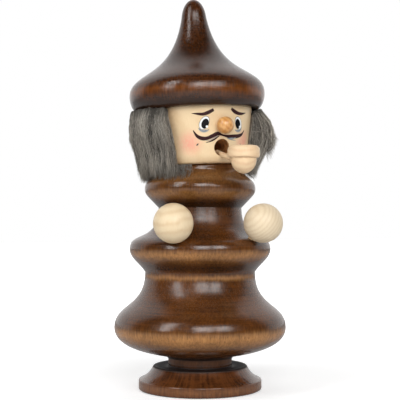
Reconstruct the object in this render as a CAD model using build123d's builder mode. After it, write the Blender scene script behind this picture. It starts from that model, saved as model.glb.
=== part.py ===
from build123d import *
from math import ceil, cos, radians, sin, tan
import os

# A turned-wood incense smoker. A figure in a three-tiered robe stands on the spigot of a round foot
# and lifts off it, to reach the dish that an incense cone burns on. The smoke rises through the robe
# and the head, and leaves by the round mouth.
#
# Millimetres, +Z up, and the face looks along -Y. The origin is the middle of the foot's underside.
# Angles round the figure are degrees from its face, and grow towards its own left hand (+X).

os.makedirs("parts", exist_ok=True)

# ---- Driving dimensions ----

# A turned curve is cut into straight facets that turn by this angle at most, to keep its mesh light
facet_angle = 18.0

# Foot
foot_radius = 31.5
foot_rim_height = 5.2
foot_rim_chamfer = 0.6
foot_cove_direction = 159.0
foot_top_radius = 23.7
foot_height = 12.1
neck_radius = 16.3
neck_height = 4.1
neck_chamfer = 0.8
spigot_height = 8.0
spigot_chamfer = 0.8

# Dish for the cone, and its nail
plate_radius = 11.6
plate_floor_radius = 9.0
plate_rim_height = 1.6
plate_thickness = 0.5
pin_head_radius = 2.0
pin_head_height = 0.9
pin_head_chamfer = 0.5
pin_shank_radius = 0.8
pin_length = 7.0

# Robe: each height is measured from the one below it, the first from the robe's underside
robe_flat_radius = 18.5
skirt_radius = 44.0
skirt_widest_height = 15.5
lower_waist_radius = 28.2
skirt_rise = 28.1
middle_radius = 36.2
middle_widest_height = 12.1
upper_waist_radius = 21.3
middle_rise = 20.8
upper_radius = 28.5
upper_widest_height = 10.0
collar_radius = 21.6
collar_rise = 11.5
collar_height = 2.0

# Bores for the cone and its smoke
chamber_radius = 13.0
chamber_height = 44.0
channel_radius = 5.0
vent_radius = 3.25
vent_height = 14.8

# Head, which leans a little on the robe
head_lean = 2.4
head_lean_towards = -117.0
head_bottom_radius = 23.7
head_top_radius = 27.8
head_height = 28.1
head_bottom_chamfer = 0.9
tenon_radius = 9.0
tenon_length = 12.0
head_channel_radius = 4.5
head_channel_overrun = 1.5
mouth_radius = 4.25
mouth_height = 7.65

# Nose
nose_radius = 4.25
nose_height = 18.3
nose_stand_out = 2.6
nose_peg_radius = 2.0
nose_peg_length = 6.0

# Hat
hat_brim_radius = 34.85
hat_brim_widest_height = 8.4
hat_underside_radius = 30.2
hat_shoulder_radius = 28.15
hat_shoulder_height = 17.9
hat_flare_direction = 152.9
hat_knob_radius = 6.45
hat_knob_direction = 93.6
hat_knob_height = 48.4
hat_height = 58.1
hat_dowel_radius = 4.0
hat_dowel_length = 15.0

# Pipe
pipe_reach = 46.0
bowl_ring_radius = 7.7
bowl_ring_height = 5.9
bowl_ring_rounding = 2.3
bowl_ring_lower_rounding = 1.1
bowl_cup_radius = 6.2
bowl_cup_height = 7.6
bowl_hollow_radius = 4.4
bowl_hollow_depth = 6.0
bowl_lip_chamfer = 0.6
stem_radius = 1.25
stem_slope = 15.0
stem_in_mouth = 5.5
stem_in_bowl = 2.0
stem_groove = 0.4

# Hands
hand_radius = 9.7
hand_reach = 39.4
hand_height = 68.7
hand_dowel_radius = 2.0
hand_dowel_length = 14.0
hand_dowel_slope = 49.0
right_hand_angle = -46.0
left_hand_angle = 25.0

# Hair, a strip of fur that runs from one temple round the back to the other
hair_start_angle = 61.0
pelt_glue_gap = 0.2
pelt_thickness = 0.8
pelt_bottom_height = 3.0
pelt_top_height = 25.0
hair_radius = 38.5
hair_widest_height = 18.0
hair_top_radius = 32.0
hair_top_height = 26.5
hair_tip_radius = 31.5
hair_hang = 7.0
hair_tip_thickness = 2.0

# Clearances
running_clearance = 0.1
glue_gap = 0.05
soft_clearance = 0.3

# ---- Places that follow from them ----

robe_base = foot_height + neck_height
spigot_top = robe_base + spigot_height
spigot_radius = chamber_radius - running_clearance
skirt_widest = robe_base + skirt_widest_height
lower_waist = skirt_widest + skirt_rise
middle_widest = lower_waist + middle_widest_height
upper_waist = middle_widest + middle_rise
upper_widest = upper_waist + upper_widest_height
seam_height = upper_widest + collar_rise

lean_hinge = Axis((0, 0, 0), (cos(radians(head_lean_towards)), sin(radians(head_lean_towards)), 0))
head_up = Vector(0, 0, 1).rotate(lean_hinge, head_lean)
head_plane = Plane(
    origin=(0, 0, seam_height), x_dir=Vector(1, 0, 0).rotate(lean_hinge, head_lean), z_dir=head_up
)
head_axis = Axis(head_plane.origin, head_up)


def head_section(angle):
    """The plane of the head's outline: X runs outward at this angle from the face, Y up the head."""
    outward = head_plane.y_dir * -cos(radians(angle)) + head_plane.x_dir * sin(radians(angle))
    return Plane(origin=head_plane.origin, x_dir=outward, z_dir=outward.cross(head_up))


def upright_section(angle):
    """The same for the robe, whose axis is upright: X runs outward, Y is the height over the floor."""
    outward = Vector(sin(radians(angle)), -cos(radians(angle)), 0)
    return Plane(origin=(0, 0, 0), x_dir=outward, z_dir=outward.cross(Vector(0, 0, 1)))


def head_radius_at(height):
    """The head's radius at a height over its seam with the robe."""
    return head_bottom_radius + (head_top_radius - head_bottom_radius) * height / head_height


def heading(direction):
    """The unit vector of a direction in degrees, where 0 is outward and 90 is up."""
    return (cos(radians(direction)), sin(radians(direction)))


def turned_arc(start, tangent, end):
    """One arc of a turned outline, in facets. Returns its tangent at the end."""
    arc = TangentArc(start, end, tangent=tangent, mode=Mode.PRIVATE)
    facets = ceil((arc % 0).get_angle(arc % 1) / facet_angle)
    Polyline(*[arc @ (i / facets) for i in range(facets + 1)])
    return arc % 1


def turned_curve(start, direction, end, joint):
    """Two arcs of a turned outline, the second tangent to the first.

    They leave start in a direction, and meet at joint, given as shares of the way from start to end
    across and upward.
    """
    across, upward = end[0] - start[0], end[1] - start[1]
    middle = (start[0] + joint[0] * across, start[1] + joint[1] * upward)
    tangent_there = turned_arc(start, heading(direction), middle)
    turned_arc(middle, tangent_there, end)


def hand_plane(angle):
    """The plane at a hand's middle, with Z along its dowel, up and out of the robe."""
    section = upright_section(angle)
    slope = radians(hand_dowel_slope)
    middle = section.from_local_coords((hand_reach, robe_base + hand_height))
    return Plane(origin=middle, z_dir=section.x_dir * cos(slope) + section.y_dir * sin(slope))


def hand_dowel_plane(angle):
    """The plane at the middle of the hand's dowel, which lies where the ball touches the robe."""
    return hand_plane(angle).offset(-hand_radius)


# directions in an outline
outward, up, down = 0, 90, -90

stand_on_plane = (Align.CENTER, Align.CENTER, Align.MIN)
hang_from_plane = (Align.CENTER, Align.CENTER, Align.MAX)

# ---- Foot: disc, neck and spigot in one turning ----

with BuildPart() as foot:
    with BuildSketch(Plane.XZ):
        with BuildLine():
            cove_start = (foot_radius, foot_rim_height)
            Polyline((0, 0), (foot_radius, 0), cove_start)
            cove_end = (foot_top_radius, foot_height)
            turned_arc(cove_start, heading(foot_cove_direction), cove_end)
            Polyline(
                cove_end,
                (neck_radius, foot_height),
                (neck_radius, robe_base),
                (spigot_radius, robe_base),
                (spigot_radius, spigot_top),
                (0, spigot_top),
                (0, 0),
            )
        make_face()
    revolve(axis=Axis.Z)
    rim_edges = foot.edges().filter_by(GeomType.CIRCLE).filter_by(
        lambda edge: abs(edge.radius - foot_radius) < 0.01
    )
    chamfer(rim_edges, foot_rim_chamfer)
    neck_root = foot.edges().filter_by(GeomType.CIRCLE).filter_by(
        lambda edge: abs(edge.radius - neck_radius) < 0.01 and abs(edge.center().Z - foot_height) < 0.01
    )
    chamfer(neck_root, neck_chamfer)
    spigot_edge = foot.edges().filter_by(GeomType.CIRCLE).sort_by(Axis.Z)[-1]
    chamfer(spigot_edge, spigot_chamfer)
    with Locations((0, 0, spigot_top)):
        Hole(radius=pin_shank_radius + glue_gap, depth=pin_length + glue_gap)
foot.part.label = "foot"
export_step(foot.part, "parts/foot.step")

# ---- Dish and its nail ----

with BuildPart() as incense_plate:
    with BuildSketch(Plane.XZ):
        with BuildLine():
            plate_top = spigot_top + plate_thickness
            Polyline(
                (0, spigot_top),
                (plate_floor_radius, spigot_top),
                (plate_radius, spigot_top + plate_rim_height),
                (plate_radius - plate_thickness, plate_top + plate_rim_height),
                (plate_floor_radius, plate_top),
                (0, plate_top),
                close=True,
            )
        make_face()
    revolve(axis=Axis.Z)
    Hole(radius=pin_shank_radius + glue_gap)
incense_plate.part.label = "incense_plate"
export_step(incense_plate.part, "parts/incense_plate.step")

with BuildPart() as plate_pin:
    with BuildSketch(Plane.XY.offset(plate_top)):
        Circle(pin_head_radius)
    extrude(amount=pin_head_height)
    chamfer(plate_pin.edges().sort_by(Axis.Z)[-1], pin_head_chamfer)
    with BuildSketch(Plane.XY.offset(plate_top)):
        Circle(pin_shank_radius)
    extrude(amount=-pin_length - plate_thickness)
plate_pin.part.label = "plate_pin"
export_step(plate_pin.part, "parts/plate_pin.step")

# ---- Robe: three turned tiers over the burn chamber ----

chamber_top = robe_base + chamber_height
socket_radius = tenon_radius + glue_gap
socket_depth = tenon_length + glue_gap

with BuildPart() as robe:
    with BuildSketch(Plane.XZ):
        with BuildLine():
            flat_edge = (robe_flat_radius, robe_base)
            skirt_edge = (skirt_radius, skirt_widest)
            lower_neck = (lower_waist_radius, lower_waist)
            middle_edge = (middle_radius, middle_widest)
            upper_neck = (upper_waist_radius, upper_waist)
            upper_edge = (upper_radius, upper_widest)
            collar = (collar_radius, seam_height - collar_height)
            collar_end = (collar_radius, seam_height + 2 * collar_radius * tan(radians(head_lean)))
            Line((0, robe_base), flat_edge)
            turned_curve(skirt_edge, down, flat_edge, (0.173, 0.574))
            turned_curve(skirt_edge, up, lower_neck, (0.405, 0.405))
            turned_curve(middle_edge, down, lower_neck, (0.284, 0.454))
            turned_curve(middle_edge, up, upper_neck, (0.374, 0.396))
            turned_curve(upper_edge, down, upper_neck, (0.238, 0.429))
            turned_curve(upper_edge, up, collar, (0.460, 0.460))
            Polyline(collar, collar_end, (0, collar_end[1]), (0, robe_base))
        make_face()
    revolve(axis=Axis.Z)
    split(bisect_by=head_plane, keep=Keep.BOTTOM)
    with Locations((0, 0, robe_base)):
        Cylinder(chamber_radius, chamber_height, align=stand_on_plane, mode=Mode.SUBTRACT)
    with Locations((0, 0, chamber_top)):
        Cylinder(channel_radius, seam_height - chamber_top, align=stand_on_plane, mode=Mode.SUBTRACT)
    with Locations(head_plane):
        Cylinder(socket_radius, socket_depth, align=hang_from_plane, mode=Mode.SUBTRACT)
    with BuildSketch(Plane.XZ):
        with Locations((0, robe_base + vent_height)):
            Circle(vent_radius)
    extrude(amount=-skirt_radius, mode=Mode.SUBTRACT)

    # seats of the two hands: the balls lie in shallow spots, over their dowels
    for hand_angle in (right_hand_angle, left_hand_angle):
        with Locations(hand_plane(hand_angle)):
            Sphere(hand_radius + glue_gap, mode=Mode.SUBTRACT)
        with Locations(hand_dowel_plane(hand_angle)):
            Cylinder(hand_dowel_radius + glue_gap, hand_dowel_length + 2 * glue_gap, mode=Mode.SUBTRACT)
robe.part.label = "robe"
export_step(robe.part, "parts/robe.step")

# ---- Head ----

nose_distance = head_radius_at(nose_height) + nose_stand_out
dowel_hole_depth = hat_dowel_length / 2 + glue_gap
face_section = head_section(0)
nose_place = face_section.from_local_coords((nose_distance, nose_height))
mouth_place = face_section.from_local_coords((0, mouth_height))
nose_plane = Plane(origin=nose_place, z_dir=face_section.x_dir)
mouth_plane = Plane(origin=mouth_place, z_dir=face_section.x_dir)

# the stem lies in a groove at the bottom of the mouth, and slopes down to the bowl
stem_start_reach = head_radius_at(mouth_height - mouth_radius)
stem_start_height = mouth_height - mouth_radius + stem_radius - stem_groove
stem_start = face_section.from_local_coords((stem_start_reach, stem_start_height))
stem_direction = Vector(0, -cos(radians(stem_slope)), -sin(radians(stem_slope)))
stem_plane = Plane(origin=stem_start, z_dir=stem_direction)

with BuildPart() as head:
    with BuildSketch(face_section):
        with BuildLine():
            bottom_corner = (head_bottom_radius, 0)
            top_corner = (head_top_radius, head_height)
            Polyline((0, 0), bottom_corner, top_corner, (0, head_height), close=True)
        make_face()
    revolve(axis=head_axis)
    bottom_edge = head.edges().filter_by(GeomType.CIRCLE).filter_by(
        lambda edge: abs(edge.radius - head_bottom_radius) < 0.01
    )
    chamfer(bottom_edge, head_bottom_chamfer)
    with Locations(head_plane):
        Cylinder(tenon_radius, tenon_length, align=hang_from_plane)
    with Locations(head_plane.offset(-tenon_length)):
        channel_length = tenon_length + mouth_height + mouth_radius + head_channel_overrun
        Cylinder(head_channel_radius, channel_length, align=stand_on_plane, mode=Mode.SUBTRACT)
    with Locations(mouth_plane):
        Cylinder(mouth_radius, 2 * head_top_radius, align=stand_on_plane, mode=Mode.SUBTRACT)
    with Locations(nose_plane):
        Sphere(nose_radius + glue_gap, mode=Mode.SUBTRACT)
        peg_hole_depth = nose_radius + nose_peg_length + glue_gap
        Cylinder(nose_peg_radius + glue_gap, peg_hole_depth, align=hang_from_plane, mode=Mode.SUBTRACT)
    with Locations(head_plane.offset(head_height)):
        Cylinder(hat_dowel_radius + glue_gap, dowel_hole_depth, align=hang_from_plane, mode=Mode.SUBTRACT)
    with Locations(stem_plane):
        Cylinder(stem_radius + glue_gap, 2 * stem_in_mouth + glue_gap, mode=Mode.SUBTRACT)
head.part.label = "head"
export_step(head.part, "parts/head.step")

# ---- Nose: a ball with its peg ----

with BuildPart() as nose:
    with Locations(nose_plane):
        Sphere(nose_radius)
        Cylinder(nose_peg_radius, nose_radius + nose_peg_length, align=hang_from_plane)
nose.part.label = "nose"
export_step(nose.part, "parts/nose.step")

# ---- Hat and the dowel under it ----

with BuildPart() as hat:
    with BuildSketch(face_section):
        with BuildLine():
            hat_bottom = head_height
            underside_edge = (hat_underside_radius, hat_bottom)
            brim_edge = (hat_brim_radius, hat_bottom + hat_brim_widest_height)
            shoulder = (hat_shoulder_radius, hat_bottom + hat_shoulder_height)
            knob = (hat_knob_radius, hat_bottom + hat_knob_height)
            tip = (0, hat_bottom + hat_height)
            Line((0, hat_bottom), underside_edge)
            turned_curve(brim_edge, down, underside_edge, (0.363, 0.765))
            turned_curve(brim_edge, up, shoulder, (0.439, 0.700))
            turned_arc(shoulder, heading(hat_flare_direction), knob)
            turned_curve(knob, hat_knob_direction, tip, (0.375, 0.755))
            Line(tip, (0, hat_bottom))
        make_face()
    revolve(axis=head_axis)
    with Locations(head_plane.offset(hat_bottom)):
        Cylinder(hat_dowel_radius + glue_gap, dowel_hole_depth, align=stand_on_plane, mode=Mode.SUBTRACT)
hat.part.label = "hat"
export_step(hat.part, "parts/hat.step")

with BuildPart() as hat_dowel:
    with Locations(head_plane.offset(head_height)):
        Cylinder(hat_dowel_radius, hat_dowel_length)
hat_dowel.part.label = "hat_dowel"
export_step(hat_dowel.part, "parts/hat_dowel.step")

# ---- Pipe: the bowl is turned upright, like an acorn, and the stem enters its cup ----

stem_run = (pipe_reach - bowl_cup_radius + stem_start.Y) / cos(radians(stem_slope))
stem_end = stem_start + stem_direction * stem_run
cup_top = stem_end.Z + stem_radius / cos(radians(stem_slope))
bowl_top = cup_top + bowl_ring_height
bowl_bottom = cup_top - bowl_cup_height
bowl_plane = Plane(origin=(stem_start.X, -pipe_reach, 0), x_dir=(1, 0, 0), z_dir=(0, -1, 0))
bowl_axis = Axis(bowl_plane.origin, (0, 0, 1))

with BuildPart() as pipe_bowl:
    with BuildSketch(bowl_plane):
        with BuildLine():
            cup_edge = (bowl_cup_radius, cup_top)
            ring_side = (bowl_ring_radius, bowl_top - bowl_ring_rounding)
            ring_top = (bowl_ring_radius - bowl_ring_rounding, bowl_top)
            ring_foot = (bowl_ring_radius - bowl_ring_lower_rounding, cup_top)
            turned_arc(cup_edge, heading(down), (0, bowl_bottom))
            Polyline(cup_edge, ring_foot)
            turned_arc(ring_foot, heading(outward), (bowl_ring_radius, cup_top + bowl_ring_lower_rounding))
            Line((bowl_ring_radius, cup_top + bowl_ring_lower_rounding), ring_side)
            turned_arc(ring_side, heading(up), ring_top)
            Polyline(ring_top, (0, bowl_top), (0, bowl_bottom))
        make_face()
    revolve(axis=bowl_axis)
    with Locations((stem_start.X, -pipe_reach, bowl_top)):
        Cylinder(bowl_hollow_radius, bowl_hollow_depth, align=hang_from_plane, mode=Mode.SUBTRACT)
    chamfer(pipe_bowl.edges().filter_by(GeomType.CIRCLE).sort_by(Axis.Z)[-1], bowl_lip_chamfer)
    with Locations(stem_plane.offset(stem_run + stem_in_bowl + glue_gap)):
        Cylinder(stem_radius + glue_gap, stem_run, align=hang_from_plane, mode=Mode.SUBTRACT)
pipe_bowl.part.label = "pipe_bowl"
export_step(pipe_bowl.part, "parts/pipe_bowl.step")

with BuildPart() as pipe_stem:
    with BuildSketch(stem_plane.offset(-stem_in_mouth)):
        Circle(stem_radius)
    extrude(amount=stem_in_mouth + stem_run + stem_in_bowl)
pipe_stem.part.label = "pipe_stem"
export_step(pipe_stem.part, "parts/pipe_stem.step")

# ---- Hands and their dowels ----

for hand_name, hand_angle in (("right_hand", right_hand_angle), ("left_hand", left_hand_angle)):
    with BuildPart() as hand:
        with Locations(hand_plane(hand_angle)):
            Sphere(hand_radius)
        with Locations(hand_dowel_plane(hand_angle)):
            Cylinder(hand_dowel_radius + glue_gap, hand_dowel_length + 2 * glue_gap, mode=Mode.SUBTRACT)
    hand.part.label = hand_name
    export_step(hand.part, f"parts/{hand_name}.step")

    with BuildPart() as hand_dowel:
        with Locations(hand_dowel_plane(hand_angle)):
            Cylinder(hand_dowel_radius, hand_dowel_length)
    hand_dowel.part.label = f"{hand_name}_dowel"
    export_step(hand_dowel.part, f"parts/{hand_name}_dowel.step")

# ---- Hair: the leather strip round the head, and the fur that hangs from it ----

hair_section = head_section(hair_start_angle)
hair_arc = 360 - 2 * hair_start_angle

with BuildPart() as hair_pelt:
    with BuildSketch(hair_section):
        pelt_bottom = head_radius_at(pelt_bottom_height) + pelt_glue_gap
        pelt_top = head_radius_at(pelt_top_height) + pelt_glue_gap
        with BuildLine():
            Polyline(
                (pelt_bottom, pelt_bottom_height),
                (pelt_bottom + pelt_thickness, pelt_bottom_height),
                (pelt_top + pelt_thickness, pelt_top_height),
                (pelt_top, pelt_top_height),
                close=True,
            )
        make_face()
    revolve(axis=head_axis, revolution_arc=hair_arc)
hair_pelt.part.label = "hair_pelt"
export_step(hair_pelt.part, "parts/hair_pelt.step")

with BuildPart() as hair:
    with BuildSketch(hair_section):
        hair_root = pelt_glue_gap + pelt_thickness + soft_clearance
        root_bottom = (head_radius_at(pelt_bottom_height) + hair_root, pelt_bottom_height)
        root_top = (head_radius_at(hair_top_height) + hair_root, hair_top_height)
        widest = (hair_radius, hair_widest_height)
        tip_outside = (hair_tip_radius, -hair_hang)
        with BuildLine():
            Polyline(tip_outside, (hair_tip_radius - hair_tip_thickness, -hair_hang), root_bottom, root_top)
            Line(root_top, (hair_top_radius, hair_top_height))
            turned_curve(widest, down, tip_outside, (0.356, 0.539))
            turned_arc(widest, heading(up), (hair_top_radius, hair_top_height))
        make_face()
    revolve(axis=head_axis, revolution_arc=hair_arc)
hair.part.label = "hair"
export_step(hair.part, "parts/hair.step")
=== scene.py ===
# %% [markdown]
# # An incense smoker, turned and painted
#
# The object is a hollow wooden figure about 20 cm tall. An incense cone burns inside it, and the smoke
# leaves by the mouth. Almost every piece is turned on a lathe, so this lesson is mostly about one idea:
# draw half an outline, and spin it round an axis.
#
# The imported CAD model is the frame. Its pieces say where everything is and what moves with what, and
# the pieces made here take their places.

# %% Load the CAD model
from math import cos, pi, radians, sin

import bpy
import numpy as np
from mathutils import Matrix, Vector


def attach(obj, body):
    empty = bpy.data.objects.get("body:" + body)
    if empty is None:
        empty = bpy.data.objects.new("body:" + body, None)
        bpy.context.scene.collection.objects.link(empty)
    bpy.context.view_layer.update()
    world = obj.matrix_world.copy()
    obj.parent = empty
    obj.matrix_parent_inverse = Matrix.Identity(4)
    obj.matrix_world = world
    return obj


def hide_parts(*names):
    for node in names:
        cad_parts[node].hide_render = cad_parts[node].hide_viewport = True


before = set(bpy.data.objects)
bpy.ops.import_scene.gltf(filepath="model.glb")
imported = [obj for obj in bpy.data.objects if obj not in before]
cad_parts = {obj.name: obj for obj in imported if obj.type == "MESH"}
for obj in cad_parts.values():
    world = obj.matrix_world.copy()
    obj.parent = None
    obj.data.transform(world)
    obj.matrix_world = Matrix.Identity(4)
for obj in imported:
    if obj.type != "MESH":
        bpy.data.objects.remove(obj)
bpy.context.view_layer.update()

mm = 0.001

# %% [markdown]
# ## Small helpers for modelling
#
# A Blender operator works on whatever is selected, and the CAD pieces are still selected after loading.
# So every step starts by selecting one piece only, or nothing. The last helper finishes a piece: it gives it
# its material and body, and hides the CAD piece that it replaces.

# %% Select, add, edit and finish a piece
def select(piece):
    """Selects this piece alone and makes it the active one."""
    bpy.ops.object.select_all(action="DESELECT")
    piece.select_set(True)
    bpy.context.view_layer.objects.active = piece


def add(name, primitive, **settings):
    """Adds a primitive by its operator and names it."""
    bpy.ops.object.select_all(action="DESELECT")
    primitive(**settings)
    bpy.context.object.name = name
    return bpy.context.object


def edit(piece):
    """Opens a piece in edit mode, with all of its mesh selected."""
    select(piece)
    bpy.ops.object.mode_set(mode="EDIT")
    bpy.ops.mesh.select_all(action="SELECT")


def apply_place(piece):
    """Moves the object's place and turn into its mesh."""
    select(piece)
    bpy.ops.object.transform_apply(location=True, rotation=True, scale=True)
    return piece


def finish(piece, slot, material, *replaced, body="figure"):
    """Gives a piece its material and its body, hides the CAD nodes it stands for, and measures it. slot is
    not used.
    """
    apply_place(piece)
    piece.data.materials.clear()
    piece.data.materials.append(material)
    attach(piece, body)
    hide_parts(*replaced)
    size = " x ".join(f"{side / mm:.1f}" for side in piece.dimensions)
    print(f"{piece.name}: {len(piece.data.polygons)} faces, {size} mm")


# %% [markdown]
# ## Turning on the lathe
#
# A turner holds the gouge against a spinning blank, so the whole form is one outline. Here the outline
# is a Bezier curve, because its handles bend like the sweep of the gouge: each point has a direction and
# a length for the handle before it and after it. The curve becomes a mesh line, and Spin sweeps it round
# the axis. Then the doubles where its ends meet are merged, and the normals made to point outwards.

# %% Draw an outline and spin it
crease = radians(38)  # an edge that turns by more than this stays sharp in the shading


def handle(point, direction, length):
    """A handle of a length in millimetres, at degrees above the outward direction."""
    return point + Vector((cos(radians(direction)), 0, sin(radians(direction)))) * length * mm


def draw_outline(name, points, closed=False, resolution=14):
    """A mesh line through points of an outline.

    Each point is (radius, height), or (radius, height, arriving, leaving), where the last two are
    (direction, handle length) of a curved stretch, or None for a straight one.
    """
    line = add(name, bpy.ops.curve.primitive_bezier_curve_add, location=(0, 0, 0))
    spline = line.data.splines[0]
    spline.bezier_points.add(len(points) - 2)
    for knot, (radius, height, *bend) in zip(spline.bezier_points, points):
        place = Vector((radius, 0, height)) * mm
        arriving, leaving = bend or (None, None)
        knot.handle_left_type = knot.handle_right_type = "FREE"
        knot.co = place
        knot.handle_left = handle(place, arriving[0] + 180, arriving[1]) if arriving else place
        knot.handle_right = handle(place, *leaving) if leaving else place
    spline.use_cyclic_u = closed
    line.data.dimensions = "3D"
    line.data.resolution_u = resolution
    bpy.ops.object.convert(target="MESH")
    return line


def spin(line, steps=176, turn=2 * pi):
    """Sweeps a mesh line round the upright axis and closes it."""
    edit(line)
    bpy.ops.mesh.spin(steps=steps, angle=turn, center=(0, 0, 0), axis=(0, 0, 1))
    bpy.ops.mesh.select_all(action="SELECT")
    bpy.ops.mesh.remove_doubles(threshold=0.004 * mm)
    bpy.ops.mesh.normals_make_consistent(inside=False)
    bpy.ops.object.mode_set(mode="OBJECT")
    bpy.ops.object.shade_smooth_by_angle(angle=crease)
    return line


def turned(name, points, closed=False, steps=176, resolution=14):
    """A piece from the lathe: its outline, spun."""
    return spin(draw_outline(name, points, closed, resolution), steps)


# %% [markdown]
# ## Holes and seats
#
# Bores, and the shallow spots that balls sit in, are drilled after turning. Here a Boolean modifier does
# it, with a cylinder or a ball as its cutter.

# %% Drill into a piece
def cylinder(name, radius, length, start, direction, vertices=64):
    """A cylinder that runs from start along a direction. Sizes are in millimetres."""
    direction = Vector(direction).normalized()
    middle = (Vector(start) + direction * length / 2) * mm
    sizes = {"vertices": vertices, "radius": radius * mm, "depth": length * mm}
    piece = add(name, bpy.ops.mesh.primitive_cylinder_add, location=middle, **sizes)
    piece.rotation_euler = direction.to_track_quat("Z", "Y").to_euler()
    return apply_place(piece)


def ball(name, radius, centre):
    """A ball as a cutter."""
    sizes = {"segments": 96, "ring_count": 64, "radius": radius * mm}
    return apply_place(add(name, bpy.ops.mesh.primitive_uv_sphere_add, location=centre * mm, **sizes))


def cut(piece, *cutters):
    """Takes each cutter's form out of the piece, and deletes the cutter."""
    for cutter in cutters:
        select(piece)
        modifier = piece.modifiers.new("Cut", "BOOLEAN")
        modifier.operation = "DIFFERENCE"
        modifier.solver = "EXACT"
        modifier.object = cutter
        bpy.ops.object.modifier_apply(modifier=modifier.name)
        bpy.data.objects.remove(cutter)
    select(piece)
    bpy.ops.object.shade_smooth_by_angle(angle=crease)
    return piece


# %% [markdown]
# ## Shader maths
#
# The finishes are node trees, and a formula in nodes is hard to read. This class wraps a socket, so
# that adding or multiplying two of them places the Math nodes and their links.

# %% A value in a node tree
class Wire:
    """A value or colour in a material's node tree."""

    def __init__(self, tree, socket=None):
        self.tree, self.socket = tree, socket

    def node(self, kind, inputs=(), output=0, **settings):
        """Adds a node, fills its inputs from values or wires, and returns one of its outputs."""
        node = self.tree.nodes.new(kind)
        for key, value in settings.items():
            setattr(node, key, value)
        for key, value in dict(inputs).items():
            if isinstance(value, Wire):
                self.tree.links.new(value.socket, node.inputs[key])
            else:
                node.inputs[key].default_value = value
        return Wire(self.tree, node.outputs[output])

    def math(self, operation, *values):
        return self.node("ShaderNodeMath", dict(enumerate((self, *values))), operation=operation)

    def vector(self, operation, *values, output=0):
        """The same for vectors. Length has its result at output 1."""
        inputs = dict(enumerate((self, *values)))
        return self.node("ShaderNodeVectorMath", inputs, output, operation=operation)

    def parts(self):
        """The x, y and z of a vector."""
        outputs = self.node("ShaderNodeSeparateXYZ", {0: self}).socket.node.outputs
        return [Wire(self.tree, output) for output in outputs]

    def __add__(self, other):
        return self.math("ADD", other)

    def __sub__(self, other):
        return self.math("SUBTRACT", other)

    def __mul__(self, other):
        return self.math("MULTIPLY", other)

    def __truediv__(self, other):
        return self.math("DIVIDE", other)

    def __pow__(self, other):
        return self.math("POWER", other)

    __radd__, __rmul__ = __add__, __mul__

    def __rsub__(self, other):
        return (self * -1) + other

    def capped(self, limit=1.0):
        return self.math("MINIMUM", limit)

    def step(self, low, high):
        """0 below low, 1 above high, and smooth between."""
        inputs = {0: self, 1: low, 2: high}
        return self.node("ShaderNodeMapRange", inputs, interpolation_type="SMOOTHSTEP")

    def bump_at(self, centre, width):
        """1 at the centre, falling smoothly to 0 at about twice the width from it."""
        away = (self - centre) / width
        return (away * away * -1).math("EXPONENT")

    def mix(self, low, high):
        """From one colour to another as this value goes from 0 to 1."""
        return self.node("ShaderNodeMix", {0: self, 6: low, 7: high}, 2, data_type="RGBA")


def from_axis(x, y):
    """How far a point is from an axis, from its two coordinates across it."""
    return (x * x + y * y).math("SQRT")


# %% [markdown]
# Every finish starts the same way: a Principled shader, and the Object coordinates in millimetres.

# %% Start a material
def colour(red, green, blue):
    """A colour as seen on screen, in steps of 0 to 255, as the linear values that shaders use."""
    def linear(value):
        value /= 255
        return value / 12.92 if value <= 0.04045 else ((value + 0.055) / 1.055) ** 2.4
    return (linear(red), linear(green), linear(blue), 1)


class Finish(Wire):
    """A new material, with its Principled shader and its Object coordinates in millimetres."""

    def __init__(self, name, **values):
        self.material = bpy.data.materials.new(name)
        self.material.use_nodes = True
        super().__init__(self.material.node_tree)
        self.shader = self.tree.nodes["Principled BSDF"]
        for key, value in values.items():
            self.shader.inputs[key.replace("_", " ")].default_value = value
        place = self.node("ShaderNodeTexCoord", output="Object")
        self.place = self.node("ShaderNodeVectorMath", {0: place, "Scale": 1 / mm}, operation="SCALE")
        self.x, self.y, self.z = self.place.parts()

    def noise(self, scale, detail=2.0, stretch=(1, 1, 1), roughness=0.5):
        """Noise from 0 to 1 with scale bumps a millimetre, drawn out where stretch is small."""
        moved = self.node("ShaderNodeMapping", {"Vector": self.place, "Scale": stretch})
        inputs = {"Vector": moved, "Scale": scale, "Detail": detail, "Roughness": roughness}
        return self.node("ShaderNodeTexNoise", inputs)

    def set(self, **wires):
        """Links wires to the shader's sockets."""
        for key, wire in wires.items():
            self.tree.links.new(wire.socket, self.shader.inputs[key.replace("_", " ")])
        return self

    def bump(self, height, depth):
        """A bump of a depth in millimetres from a height of 0 to 1."""
        return self.node("ShaderNodeBump", {"Height": height, "Distance": depth * mm, "Strength": 1.0})


# %% [markdown]
# ## Walnut stain under gloss lacquer
#
# Robe, hat and foot are one finish: a close-grained wood, stained dark and sprayed with clear lacquer.
# The gouge leaves fine rings, which hold more stain. Where a crest was sanded harder the stain is thin
# and golden, and there the pores show as short dark dashes along the grain.

# %% Patterns of a turned piece
def bands(height, places):
    """Soft bands round a turning. Each is (height, half width, strength), in millimetres over the floor."""
    return sum(height.bump_at(middle, width) * strength for middle, width, strength in places)


def spokes(look):
    """Streaks that run up a turned form, from noise on the direction away from its axis."""
    away = look.place.vector("MULTIPLY", (1, 1, 0)).vector("NORMALIZE")
    return look.node("ShaderNodeTexNoise", {"Vector": away, "Scale": 20, "Detail": 4}).step(0.42, 0.6)


# %% [markdown]
# The stain is a stack of noises: patches, flecks along the grain, rings from the gouge and short pores.
# One function makes all three woods, which differ in tones and in the heights of their bands.

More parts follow.
